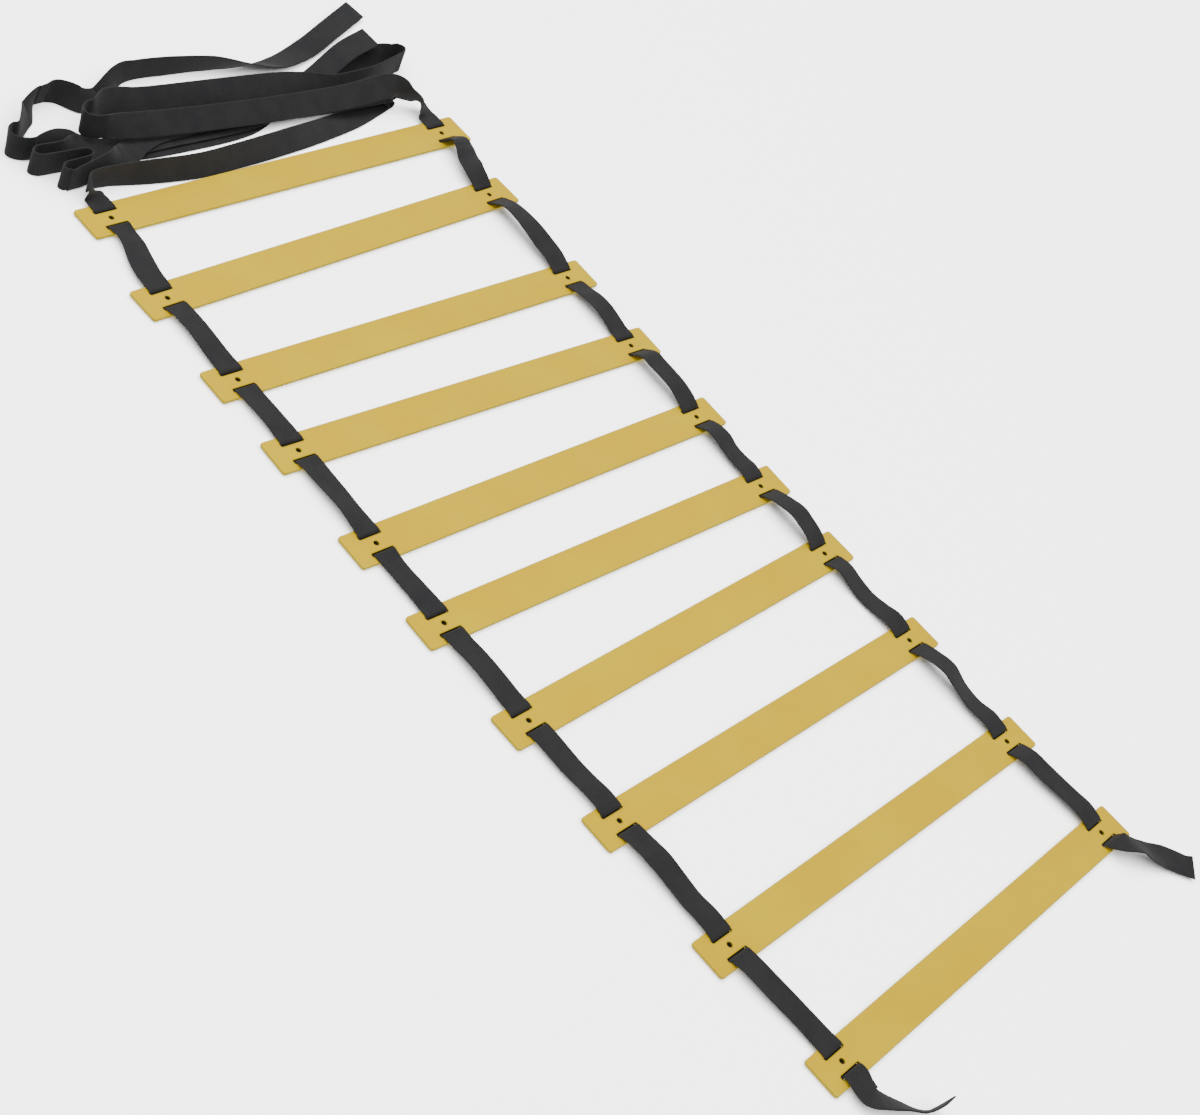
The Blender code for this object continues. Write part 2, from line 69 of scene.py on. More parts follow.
# Light
ROOM_LIGHT = 0.76
SOFTBOX_PLACE = (-0.8, -0.6, 2.2)
SOFTBOX_SIZE = 1.6
SOFTBOX_POWER = 28
FLOOR_LIGHT = 12.0
FLOOR_LIGHT_SPREAD_DEG = 100
FLOOR_HALF_SIZE = 12.0

# Sizes of the ladder
MM_PER_M = 1000
RUNG_COUNT = 10
YAW_DEG = (1.1, 2.4, -0.4, -1.9, -0.6, -1.0, 1.5, 0.9, 1.1, 1.9)
RUNG_LENGTH = 0.400
RUNG_WIDTH = 0.030
RUNG_THICKNESS = 0.0020
RUNG_CORNER = 0.0025
SLOT_INSET = 0.0240
SLOT_CORNER = 0.0010
BRIDGE_WIDTH = 0.0132
PEEPHOLE_DIAMETER = 0.0036
WEB_WIDTH = 0.0200
WEB_THICKNESS = 0.0012
WEB_BEND = 0.0015
WEB_OVERHANG = 0.0025
SLOT_SPARE = 0.0002
SEAT = 0.0003

WEB_UNDER = WEB_THICKNESS / 2
RUNG_BOTTOM = WEB_THICKNESS + SEAT
RUNG_TOP = RUNG_BOTTOM + RUNG_THICKNESS
WEB_OVER = RUNG_TOP + SEAT + WEB_THICKNESS / 2
SLOT_WIDTH = 2 * WEB_BEND
SLOT_MIDDLE = BRIDGE_WIDTH / 2 + WEB_BEND
SLOT_LENGTH = WEB_WIDTH + 2 * SLOT_SPARE
STRAP_PLACE = RUNG_LENGTH / 2 - SLOT_INSET
THREAD_END = RUNG_WIDTH / 2 + WEB_OVERHANG
FOLD_PLACE = THREAD_END + SEAT / 2
SPAN_START = THREAD_END + SEAT
SIDES = (("left", -1), ("right", 1))

# Loose webbing behind rung 1. A lead's points are (across, behind, height, turn), for the middle
# of the webbing. A run's are (across, front, lift, lean), for its front edge and lowest corner.
LEFT_LEAD = (
    (-0.1762, 0.0208, 0.0086, 47),
    (-0.1768, 0.0273, 0.0099, 81),
    (-0.1706, 0.0293, 0.0105, 101),
)
LEFT_RUNS = (
    (
        (-0.1540, 0.0286, 0.0003, 88),
        (-0.1200, 0.0215, 0.0003, 70),
        (-0.0750, 0.0160, 0.0003, 58),
        (-0.0250, 0.0172, 0.0003, 48),
        (0.0200, 0.0200, 0.0003, 36),
        (0.0600, 0.0240, 0.0003, 18),
        (0.1000, 0.0300, 0.0003, 4),
        (0.1300, 0.0375, 0.0003, 1),
        (0.1490, 0.0430, 0.0003, 1),
    ),
    (
        (0.1490, 0.0445, 0.0063, 1),
        (0.1250, 0.0450, 0.0067, 1),
        (0.0950, 0.0455, 0.0069, 1),
        (0.0550, 0.0490, 0.0053, 2),
        (0.0000, 0.0555, 0.0043, 0),
        (-0.0750, 0.0555, 0.0043, 0),
        (-0.1040, 0.0495, 0.0043, 2),
        (-0.1190, 0.0420, 0.0044, 4),
        (-0.1320, 0.0360, 0.0045, 22),
        (-0.1500, 0.0350, 0.0020, 66),
        (-0.1860, 0.0330, 0.0003, 88),
    ),
    (
        (-0.1860, 0.0415, 0.0003, 86),
        (-0.1680, 0.0430, 0.0003, 88),
    ),
    (
        (-0.1680, 0.0513, 0.0003, 88),
        (-0.1980, 0.0520, 0.0003, 86),
    ),
    (
        (-0.1980, 0.0620, 0.0003, 86),
        (-0.1780, 0.0600, 0.0003, 82),
        (-0.1600, 0.0560, 0.0014, 32),
        (-0.1470, 0.0530, 0.0021, 12),
        (-0.1200, 0.0500, 0.0023, 3),
        (-0.0750, 0.0500, 0.0023, 0),
        (0.0000, 0.0505, 0.0023, 0),
        (0.0500, 0.0600, 0.0022, 4),
        (0.1000, 0.0780, 0.0050, 6),
        (0.1400, 0.0910, 0.0140, 8),
        (0.1740, 0.0980, 0.0180, 8),
    ),
)
RIGHT_LEAD = (
    (0.1749, 0.0286, 0.0074, 27),
    (0.1713, 0.0348, 0.0131, 49),
    (0.1617, 0.0429, 0.0158, 59),
)
RIGHT_RUNS = (
    (
        (0.1441, 0.0420, 0.0145, 46),
        (0.1000, 0.0430, 0.0110, 41),
        (0.0500, 0.0470, 0.0080, 40),
        (0.0000, 0.0500, 0.0080, 40),
        (-0.0750, 0.0560, 0.0085, 42),
        (-0.1200, 0.0610, 0.0096, 52),
        (-0.1360, 0.0660, 0.0106, 80),
    ),
    (
        (-0.1340, 0.0840, 0.0106, 78),
        (-0.1180, 0.0880, 0.0100, 58),
        (-0.1000, 0.0875, 0.0085, 47),
        (-0.0750, 0.0850, 0.0064, 43),
        (0.0000, 0.0785, 0.0070, 37),
        (0.0500, 0.0735, 0.0075, 34),
        (0.0800, 0.0690, 0.0055, 42),
        (0.1100, 0.0655, 0.0008, 55),
        (0.1500, 0.0720, 0.0003, 80),
        (0.1880, 0.0812, 0.0003, 84),
    ),
    (
        (0.1900, 0.0925, 0.0003, 82),
        (0.1690, 0.0895, 0.0003, 24),
        (0.1500, 0.0880, 0.0003, 10),
        (0.1000, 0.0800, 0.0003, 4),
        (0.0500, 0.0660, 0.0003, 3),
        (0.0000, 0.0470, 0.0003, 0),
        (-0.0750, 0.0445, 0.0003, 0),
        (-0.1200, 0.0480, 0.0003, 0),
        (-0.1470, 0.0600, 0.0003, 8),
        (-0.1620, 0.0655, 0.0003, 30),
        (-0.1960, 0.0690, 0.0003, 84),
    ),
    (
        (-0.1960, 0.0860, 0.0003, 76),
        (-0.1765, 0.0990, 0.0010, 46),
        (-0.1598, 0.1188, 0.0003, 96),
    ),
    (
        (-0.1485, 0.1212, 0.0003, 92),
        (-0.1384, 0.1172, 0.0003, 74),
        (-0.1229, 0.1024, 0.0003, 38),
        (-0.1044, 0.1009, 0.0003, 24),
        (-0.0808, 0.1209, 0.0003, 68),
        (-0.0620, 0.1275, 0.0003, 88),
        (-0.0300, 0.1255, 0.0003, 92),
        (0.0100, 0.1180, 0.0003, 105),
        (0.0450, 0.1060, 0.0003, 135),
        (0.0800, 0.1040, 0.0010, 165),
        (0.1200, 0.1140, 0.0020, 185),
        (0.1600, 0.1290, 0.0030, 188),
        (0.2040, 0.1465, 0.0030, 188),
    ),
)
HAIRPIN_REACH_SHARE = 1.7  # of half the distance between two runs
LEAD_STEP = 2 * WEB_THICKNESS  # straight on from the rung

# The straps' free ends, in mm and degrees: (along, sideways, height, roll) from rung 10's slots
LEFT_TAIL = (
    (8.9, 0.0, 4.9, 0),
    (12.5, -0.4, 5.6, 0),
    (18.5, -2.6, 6.0, -4),
    (27.5, -4.3, 6.6, -4),
    (35.0, 0.0, 7.2, -26),
    (45.0, 8.3, 8.4, -43),
    (54.0, 15.4, 9.4, -53),
    (59.3, 24.0, 10.3, -73),
    (61.2, 36.5, 11.0, -82),
)
RIGHT_TAIL = (
    (9.3, 0.0, 5.4, 0),
    (13.0, 0.2, 8.8, 0),
    (17.2, 2.2, 11.4, -7),
    (21.6, 6.0, 12.3, -18),
    (26.4, 11.4, 11.5, -23),
    (35.0, 19.4, 8.9, -8),
    (43.0, 29.5, 6.2, 6),
    (51.8, 38.4, 4.4, 6),
    (59.5, 44.9, 3.9, 2),
    (63.5, 48.6, 4.4, 8),
)

# How long the surpluses and the free ends are, the latter with what is threaded through the slot
LEFT_LENGTH = 1.200
RIGHT_LENGTH = 1.590
LEFT_END_LENGTH = 0.088
RIGHT_END_LENGTH = 0.090

# Fineness of the made surfaces
STATION_GAP = 0.0010  # along the loose webbing
SPAN_STATION_GAP = 0.0005  # along the webbing between the rungs
FLAT_STEPS = 20  # across each face of the webbing
EDGE_STEPS = 6  # round each edge of the webbing
POINT_STEPS = 24  # between two points of a loose length
HAIRPIN_STEPS = 6  # round each hairpin's points
BEND_STEPS = 10  # round each bend at a slot
END_RING_SHARE = 0.05  # of the gap between two stations
RIM_STEPS = 4  # round each edge of a slat
CORNER_STEPS = 6
PEEPHOLE_STEPS = 32

# The plastic's finish
RIM_RADIUS = 0.0004
WORN_BAND = 0.0014
HOLE_SHADE_AT_RIM = 0.4  # painted shade where a face starts to round off into a slot
YELLOW = (0.97, 0.62, 0.003, 1)
PALE_YELLOW = (0.99, 0.68, 0.006, 1)
SCUFFED_YELLOW = (1.0, 0.80, 0.16, 1)
# painted shade: a darker yellow for the slats' rounded rims and walls
RIM_SHADE_YELLOW = (0.62, 0.50, 0.02, 1)
# painted shade: near black for the walls of the slots and peepholes, in the slots also webbing
# rubbed off on them
HOLE_SHADE_AND_RUB_BLACK = (0.03, 0.026, 0.012, 1)
GLOSS_YELLOW = (1.0, 0.72, 0.03, 1)
PATCH_SCALE = 16
SCUFF_SCALE = 420
LINE_SCALE = 1300
LINE_STRETCH = (0.05, 1.0, 1.0)
GRAIN_SCALE = 1500
PATCH_RANGE = (0.30, 0.70)
SCUFF_RANGE = (0.50, 0.62)
SCUFF_EDGE_RANGE = (0.15, 0.75)
RIM_SHADE_RANGE = (0.92, 1.0)
LINE_RANGE = (0.60, 0.72)
SCUFF_SHARE = 0.55
RIM_SHADE_SHARE = 0.55
HOLE_SHADE_SHARE = 0.85
PLASTIC_ROUGHNESS = 0.36
PATCH_ROUGHNESS = 0.10  # what the patches add to it, and so on
LINE_ROUGHNESS = 0.12
SCUFF_ROUGHNESS = 0.25
PLASTIC_GLOSS = 0.35
LINE_RELIEF = -0.5  # as a share of the grain's
GRAIN_HEIGHT = 0.00004
GRAIN_STRENGTH = 0.6

# The webbing's finish
YARN_WIDTH = 0.00094
PICK_LENGTH = 0.00125
EDGE_ROUND = math.pi * WEB_THICKNESS / 2
HALF_ROUND = WEB_WIDTH - WEB_THICKNESS + EDGE_ROUND
# painted shade: the darker black of the grooves between the yarns
GROOVE_SHADE_BLACK = (0.0085, 0.0085, 0.0095, 1)
YARN_BLACK = (0.030, 0.0305, 0.034, 1)
FADED_BLACK = (0.036, 0.034, 0.034, 1)
FUZZ_GREY = (0.060, 0.061, 0.066, 1)
FUZZ_SCALE = 900
DYE_SCALE = 70
TOP_YARN_RANGE = (-0.2, 0.2)
LOWER_YARN_HEIGHT = 0.62
GROOVE_SHADE_RANGE = (0.15, 0.95)
SELVEDGE_RANGE = (0.445, 0.485)
DYE_RANGE = (0.35, 0.65)
FUZZ_RANGE = (0.50, 0.75)
DYE_SHARE = 0.30
FUZZ_SHARE = 0.32
SELVEDGE_SHARE = 0.20
WEBBING_ROUGHNESS = 0.62
FUZZ_ROUGHNESS = 0.20  # what the fuzz adds to it
WEBBING_GLOSS = 0.30
SHEEN = 0.12
SHEEN_ROUGHNESS = 0.45
FUZZ_RELIEF = 0.35  # as a share of the weave's
WEAVE_HEIGHT = 0.00018
WEAVE_STRENGTH = 0.7

# The floor's finish
FLOOR_GREY = (0.92, 0.92, 0.92, 1)
FLOOR_ROUGHNESS = 0.9

# How the webbing runs from slot to slot: its height over the floor and its roll, at these shares
# of the way, one row for each space between rungs. The right strap stands up higher.
WAY_SHARES = (0.15, 0.32, 0.50, 0.68, 0.85)
LEFT_HEIGHTS_MM = (
    (4.3, 4.6, 4.7, 5.6, 5.3),
    (5.6, 6.0, 5.6, 4.8, 4.3),
    (4.5, 5.0, 4.9, 4.6, 4.2),
    (5.5, 5.8, 6.3, 6.1, 5.1),
    (3.6, 3.5, 3.7, 4.1, 4.1),
    (4.9, 6.2, 6.4, 5.6, 4.5),
    (5.0, 4.4, 3.9, 4.8, 5.6),
    (6.5, 7.6, 6.2, 4.7, 5.6),
    (6.6, 6.4, 5.5, 4.5, 3.8),
)
LEFT_ROLLS_DEG = (
    (-10, -6, -1, 3, 3),
    (-5, -6, -5, -3, -1),
    (-3, -5, -5, -4, 0),
    (-5, -7, -10, -12, -6),
    (-5, -7, -5, -4, 0),
    (-3, -4, -4, -3, -2),
    (-2, -3, -4, -5, -2),
    (-3, 0, -2, -3, -1),
    (-3, -3, -3, -4, -2),
)
RIGHT_HEIGHTS_MM = (
    (12.0, 11.9, 10.6, 10.9, 8.5),
    (10.9, 12.6, 11.9, 10.1, 8.5),
    (6.6, 8.8, 9.2, 7.3, 4.7),
    (11.0, 11.5, 11.6, 11.0, 8.2),
    (8.2, 8.8, 6.3, 5.6, 6.1),
    (8.6, 11.6, 13.5, 11.8, 9.2),
    (7.6, 4.9, 2.9, 4.3, 6.6),
    (9.4, 12.2, 7.9, 5.4, 7.0),
    (8.4, 8.3, 7.7, 7.4, 7.1),
)
RIGHT_ROLLS_DEG = (
    (-8, -6, 1, 6, 5),
    (-8, -5, 2, 6, 4),
    (-4, -2, -2, -3, -1),
    (-1, -1, -2, -2, 1),
    (-4, -3, -6, -3, 0),
    (-4, -3, -2, -3, -3),
    (-7, -6, -4, -1, 2),
    (-5, -7, -13, -8, -3),
    (0, 0, -1, -2, 1),
)

# Where the webbing is cut and bends, before and after the line on which a rung folds
SEAM_BEFORE_FOLD = 0.0080


def unit(vectors):
    """Vectors at length one."""
    return vectors / np.linalg.norm(vectors, axis=-1, keepdims=True)


def add_camera():
    """The photograph's camera: its place, where it looks, and how far it is rolled."""
    data = bpy.data.cameras.new("camera")
    data.sensor_width = SENSOR_WIDTH_MM
    data.lens = FOCAL_LENGTH_PX * SENSOR_WIDTH_MM / PHOTO_WIDTH
    data.clip_start = CAMERA_NEAR
    camera = bpy.data.objects.new("camera", data)
    bpy.context.scene.collection.objects.link(camera)
    turn = Matrix.Rotation(math.radians(CAMERA_AZIMUTH_DEG), 4, "Z")
    tip = Matrix.Rotation(math.radians(90 - CAMERA_DOWN_DEG), 4, "X")
    roll = Matrix.Rotation(math.radians(CAMERA_ROLL_DEG), 4, "Z")
    camera.matrix_world = Matrix.Translation(CAMERA_PLACE) @ turn @ tip @ roll
    bpy.context.scene.camera = camera


def rung_axes(number):
    """A rung's middle on the floor, and the directions along the ladder and across it there."""
    low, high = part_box(f"rung_{number}")
    yaw = math.radians(YAW_DEG[number - 1])
    middle = np.array([(low.x + high.x) / 2, (low.y + high.y) / 2, 0.0])
    along = np.array([math.cos(yaw), math.sin(yaw), 0.0])
    across = np.array([-math.sin(yaw), math.cos(yaw), 0.0])
    return middle, along, across


RUNG_AXES = [rung_axes(number) for number in range(1, RUNG_COUNT + 1)]
UP = np.array([0.0, 0.0, 1.0])


def at_rung(number, x, y, z):
    """Points given in a rung's own axes, carried to where it lies."""
    middle, along, across = RUNG_AXES[number - 1]
    x, y, z = np.broadcast_arrays(x, y, z)
    return middle + x[..., None] * along + y[..., None] * across + z[..., None] * UP


def make_object(name, points, faces, material, uvs, flat_faces):
    """A mesh object at the origin, shaded smooth but for the faces that are listed as flat."""
    mesh = bpy.data.meshes.new(name)
    mesh.from_pydata(points.tolist(), [], faces)
    mesh.shade_smooth()
    smooth = np.ones(len(mesh.polygons), bool)
    smooth[list(flat_faces)] = False
    mesh.polygons.foreach_set("use_smooth", smooth)
    layer = mesh.uv_layers.new(name="along")
    layer.uv.foreach_set("vector", uvs.astype(np.float32).ravel())
    mesh.materials.append(material)
    mesh.update()
    item = bpy.data.objects.new(name, mesh)
    bpy.context.scene.collection.objects.link(item)
    return item


def webbing_section():
    """Round the webbing's section: a flat face, a half-round edge, the other face and edge.

    Returns the place across, the place through the thickness, and the distance round from the
    start, which the last entry closes.
    """
    radius = WEB_THICKNESS / 2
    flat = np.linspace(-1, 1, FLAT_STEPS + 1) * (WEB_WIDTH / 2 - radius)
    turn = np.linspace(math.pi / 2, -math.pi / 2, EDGE_STEPS + 1)[1:-1]
    edge_across = WEB_WIDTH / 2 - radius + radius * np.cos(turn)
    edge_lift = radius * np.sin(turn)
    across = np.concatenate([flat, edge_across, flat[::-1], -edge_across])
    lift = np.concatenate([flat * 0 + radius, edge_lift, flat * 0 - radius, -edge_lift])
    steps = np.hypot(np.diff(across, append=across[0]), np.diff(lift, append=lift[0]))
    return across, lift, np.concatenate([[0], np.cumsum(steps)])


def square_line(centres, widths):
    """A line, its widths turned square to it, and its normals.

    A normal is the line's direction crossed with the width's.
    """
    ahead = unit(np.gradient(centres, axis=0))
    widths = unit(widths - (widths * ahead).sum(1, keepdims=True) * ahead)
    return np.stack([centres, widths, np.cross(ahead, widths)])


def webbing_strip(name, line, material, start=0.0):
    """Webbing along a line: its section is carried along it, turned to its widths.

    Each point is the centre, plus the place across times the width's direction, plus the place
    through the thickness times the normal. A ring close to each end keeps the shading even up to
    the flat end.
    """
    across, lift, around = webbing_section()
    first = line[:, :1] + END_RING_SHARE * (line[:, 1:2] - line[:, :1])
    last = line[:, -1:] + END_RING_SHARE * (line[:, -2:-1] - line[:, -1:])
    line = np.concatenate([line[:, :1], first, line[:, 1:-1], last, line[:, -1:]], axis=1)
    centres, widths, normals = line
    points = (
        centres[:, None]
        + across[None, :, None] * widths[:, None]
        + lift[None, :, None] * normals[:, None]
    )
    rows, columns = points.shape[:2]
    steps = np.linalg.norm(np.diff(centres, axis=0), axis=1)
    along = start + np.concatenate([[0], np.cumsum(steps)])
    row, column = np.meshgrid(np.arange(rows - 1), np.arange(columns), indexing="ij")
    after = (column + 1) % columns
    quads = np.stack(
        [
            row * columns + column,
            (row + 1) * columns + column,
            (row + 1) * columns + after,
            row * columns + after,
        ],
        axis=-1,
    ).reshape(-1, 4)
    u = np.stack([around[column], around[column], around[column + 1], around[column + 1]], -1)
    v = np.stack([along[row], along[row + 1], along[row + 1], along[row]], -1)
    uvs = np.stack([u, v], -1).reshape(-1, 2)
    first_cap = list(range(columns))
    last_cap = list(range((rows - 1) * columns, rows * columns))[::-1]
    faces = quads.tolist() + [first_cap, last_cap]
    cap_uvs = np.concatenate(
        [
            np.stack([around[:-1], np.full(columns, along[0])], -1),
            np.stack([around[:-1][::-1], np.full(columns, along[-1])], -1),
        ]
    )
    return make_object(
        name,
        points.reshape(-1, 3),
        faces,
        material,
        np.concatenate([uvs, cap_uvs]),
        (len(faces) - 2, len(faces) - 1),
    )


def even_stations(centres, widths, gap):
    """The same line with its stations at equal distances along it, about one gap apart."""
    steps = np.linalg.norm(np.diff(centres, axis=0), axis=1)
    along = np.concatenate([[0], np.cumsum(steps)])
    count = max(2, round(along[-1] / gap))
    wanted = np.linspace(0, along[-1], count + 1)
    spread = [np.interp(wanted, along, column) for column in (*centres.T, *widths.T)]
    return np.stack(spread[:3], -1), unit(np.stack(spread[3:], -1))


def quarter_bend(centre_x, centre_z, first, last):
    """Points of an arc at the webbing's bend radius, between two angles in quarter turns."""
    angles = math.pi / 2 * np.linspace(first, last, BEND_STEPS + 1)
    return centre_x + WEB_BEND * np.cos(angles), centre_z + WEB_BEND * np.sin(angles)


def thread_half():
    """The webbing's middle line from under a bridge, up the slot and out over the rung's edge."""
    under, under_z = quarter_bend(BRIDGE_WIDTH / 2, WEB_UNDER + WEB_BEND, -1, 0)
    over, over_z = quarter_bend(SLOT_MIDDLE + WEB_BEND, WEB_OVER - WEB_BEND, 2, 1)
    flat = np.linspace(SLOT_MIDDLE + WEB_BEND, THREAD_END, BEND_STEPS)[1:]
    x = np.concatenate([np.linspace(0, BRIDGE_WIDTH / 2, BEND_STEPS)[:-1], under, over, flat])
    z = np.concatenate([np.full(BEND_STEPS - 1, WEB_UNDER), under_z, over_z, flat * 0 + WEB_OVER])
    return x, z


def smooth_through(wanted, places, values):
    """A value at each wanted place, on a curve through the values at the given ones.

    Each stretch is the cubic Hermite (2 t^3 - 3 t^2 + 1) a + (t^3 - 2 t^2 + t) p h
    + (3 t^2 - 2 t^3) b + (t^3 - t^2) q h, where t is the share of its width h, a and b are the
    values at its ends, and p and q the slopes of the parabolas through their neighbours.
    """
    places, values = np.array(places), np.array(values)
    slopes = np.gradient(values, places)
    wanted = np.clip(wanted, places[0], places[-1])
    stretch = np.clip(np.searchsorted(places, wanted, side="right") - 1, 0, len(places) - 2)
    width = places[stretch + 1] - places[stretch]
    t = (wanted - places[stretch]) / width
    rise = (3 * t**2 - 2 * t**3) * values[stretch + 1]
    rise += (2 * t**3 - 3 * t**2 + 1) * values[stretch]
    rise += (t**3 - 2 * t**2 + t) * width * slopes[stretch]
    return rise + (t**3 - t**2) * width * slopes[stretch + 1]


def span_line(number, side):
    """A strap's middle line and widths from under one rung's bridge to under the next one's.

    Between the rungs the plan is a cubic from one rung's direction to the next one's. The height
    and the roll go smoothly through the values given for that space, from slot to slot.
    """
    y = side * STRAP_PLACE
    x, z = thread_half()
    front = at_rung(number, x, y, z)
    rear = at_rung(number + 1, -x[::-1], y, z[::-1])
    first_middle, along_first, across_first = RUNG_AXES[number - 1]
    second_middle, along_second, across_second = RUNG_AXES[number]
    start = at_rung(number, SPAN_START, y, WEB_OVER)
    end = at_rung(number + 1, -SPAN_START, y, WEB_OVER)
    length = np.linalg.norm(end - start)
    s = np.linspace(0, 1, round(length / SPAN_STATION_GAP))[:, None]
    middle = (2 * s**3 - 3 * s**2 + 1) * start + (s**3 - 2 * s**2 + s) * length * along_first
    middle += (3 * s**2 - 2 * s**3) * end + (s**3 - s**2) * length * along_second
    flat = unit((1 - s) * across_first + s * across_second)
    widths = [np.tile(across_first, (len(front), 1)), flat, np.tile(across_second, (len(rear), 1))]
    centres, widths = np.vstack([front, middle, rear]), np.vstack(widths)
    from_front = (centres - first_middle) @ along_first - SLOT_MIDDLE
    from_rear = (second_middle - centres) @ along_second - SLOT_MIDDLE
    way = from_front / (from_front + from_rear)
    heights = LEFT_HEIGHTS_MM if side < 0 else RIGHT_HEIGHTS_MM
    rolls = LEFT_ROLLS_DEG if side < 0 else RIGHT_ROLLS_DEG
    knots = (0, *WAY_SHARES, 1)
    rises = [height / MM_PER_M - WEB_OVER for height in heights[number - 1]]
    centres[:, 2] += smooth_through(way, knots, (0, *rises, 0))
    roll = np.radians(smooth_through(way, knots, (0, *rolls[number - 1], 0)))[:, None]
    widths = widths * np.cos(roll) + UP * np.sin(roll)
    return square_line(*even_stations(centres, widths, SPAN_STATION_GAP))


def cut_line(line, number):
    """The station nearest to where the webbing starts to fold before a rung."""
    middle, along, _ = RUNG_AXES[number - 1]
    before = (line[0] - middle) @ along + FOLD_PLACE + SEAM_BEFORE_FOLD
    return int(np.argmin(np.abs(before)))


def length_of(line):
    """A line's length, from station to station."""
    return np.linalg.norm(np.diff(line[0], axis=0), axis=1).sum()


def add_spans(material):
    """Each strap between two rungs, cut in two: a long length, then a short one that turns into the
    next rung's slot.
    """
    for number in range(1, RUNG_COUNT):
        for side_name, side in SIDES:
            line = span_line(number, side)
            cut = cut_line(line, number + 1)
            sliding, folding = line[:, : cut + 1], line[:, cut:]
            name = f"{side_name}_strap_{number}_to_{number + 1}"
            span = webbing_strip(name, sliding, material)
            name = f"{side_name}_strap_into_rung_{number + 1}"
            turned = webbing_strip(name, folding, material, start=length_of(sliding))
            y = side * STRAP_PLACE
            fold = at_rung(number + 1, -FOLD_PLACE, y, WEB_OVER)
            at_rung(number, SPAN_START, y, WEB_OVER).tolist()
            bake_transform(span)
            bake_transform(turned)
            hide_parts(f"{side_name}_webbing_{number}_to_{number + 1}")
            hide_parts(f"{side_name}_webbing_at_rung_{number + 1}")


def leaning(angle_deg):
    """The direction across webbing that runs along Y and leans back, towards -X."""
    angle = math.radians(angle_deg)
    return np.array([-math.cos(angle), 0, math.sin(angle)])


def behind_rung_1(across, behind, height):
    """A point from how far it lies across the ladder, behind rung 1's middle and over the floor."""
    middle = RUNG_AXES[0][0]
    return np.array([middle[0] - behind, middle[1] + across, height])


def middle_of(across, front, lift, lean):
    """The webbing's middle, from its front edge and the clearance under its lowest corner."""
    angle = math.radians(lean)
    behind = front + WEB_WIDTH / 2 * abs(math.cos(angle))
    height = lift + WEB_WIDTH / 2 * abs(math.sin(angle))
    return across, behind, height + WEB_THICKNESS / 2 * abs(math.cos(angle)), lean


def hairpin(before, after, outwards):
    """Points of half an ellipse from the end of one run to the start of the next."""
    before, after = np.array(before), np.array(after)
    reach = outwards * HAIRPIN_REACH_SHARE * np.linalg.norm((after - before)[1:3]) / 2
    angle = math.pi * (np.arange(1, HAIRPIN_STEPS)[:, None] / HAIRPIN_STEPS - 1 / 2)
    points = before + (after - before) * (1 + np.sin(angle)) / 2
    points[:, :1] += reach * np.cos(angle)
    return points


def curve_through(points, widths):
    """A Catmull-Rom curve through points, kept off the floor, with its widths square to it.

    Between two points b and c, with a before and d after them, it is the cubic
    (2 b + (c - a) s + (2 a - 5 b + 4 c - d) s^2 + (3 b - a - 3 c + d) s^3) / 2, where s goes from
    0 to 1. The widths turn evenly from point to point.
    """
    points, widths = np.array(points), np.array(widths)
    ghosts = np.vstack([2 * points[0] - points[1], points, 2 * points[-1] - points[-2]])
    place = np.arange((len(points) - 1) * POINT_STEPS)
    stretch, s = place // POINT_STEPS, (place % POINT_STEPS / POINT_STEPS)[:, None]
    a, b, c, d = (ghosts[stretch + k] for k in range(4))
    curve = 2 * b + (c - a) * s + (2 * a - 5 * b + 4 * c - d) * s**2
    curve = (curve + (3 * b - a - 3 * c + d) * s**3) / 2
    centres = np.vstack([curve, points[-1]])
    sides = np.vstack([(1 - s) * widths[stretch] + s * widths[stretch + 1], widths[-1]])
    ahead = unit(np.gradient(centres, axis=0))
    sides = unit(sides - (sides * ahead).sum(1, keepdims=True) * ahead)
    drop = WEB_WIDTH / 2 * abs(sides[:, 2]) + WEB_THICKNESS / 2 * np.sqrt(1 - sides[:, 2] ** 2)
    centres[:, 2] = np.maximum(centres[:, 2], drop + SEAT)
    return centres, sides


def surplus_line(side, lead, runs):
    """A strap's surplus: through rung 1's rear slot, up, and back and forth in its runs.

    Returns the line and the number of its station where the webbing leaves the rung.
    """
    _, _, across = RUNG_AXES[0]
    y = side * STRAP_PLACE
    points = [at_rung(1, -SPAN_START, y, WEB_OVER)]
    points.append(at_rung(1, -SPAN_START - LEAD_STEP, y, WEB_OVER))
    widths = [-across, -across]
    for place, behind, height, lean in lead:
        turned = math.radians(lean)
        points.append(behind_rung_1(place, behind, height))
        widths.append(UP * math.sin(turned) - across * math.cos(turned))
    middles = [[middle_of(*place) for place in run] for run in runs]
    for number, run in enumerate(middles):
        stations = list(run)
        if number:
            ended = middles[number - 1]
            outwards = 1 if ended[-1][0] > ended[-2][0] else -1
            stations = [*hairpin(ended[-1], run[0], outwards), *run]
        for place, behind, height, lean in stations:
            points.append(behind_rung_1(place, behind, height))
            widths.append(leaning(lean))
    loose, loose_widths = even_stations(*curve_through(points, widths), STATION_GAP)
    x, z = thread_half()
    thread = at_rung(1, -x, y, z)
    thread, thread_widths = even_stations(thread, np.tile(-across, (len(x), 1)), SPAN_STATION_GAP)
    centres = np.vstack([thread, loose])
    return square_line(centres, np.vstack([thread_widths, loose_widths])), len(thread)


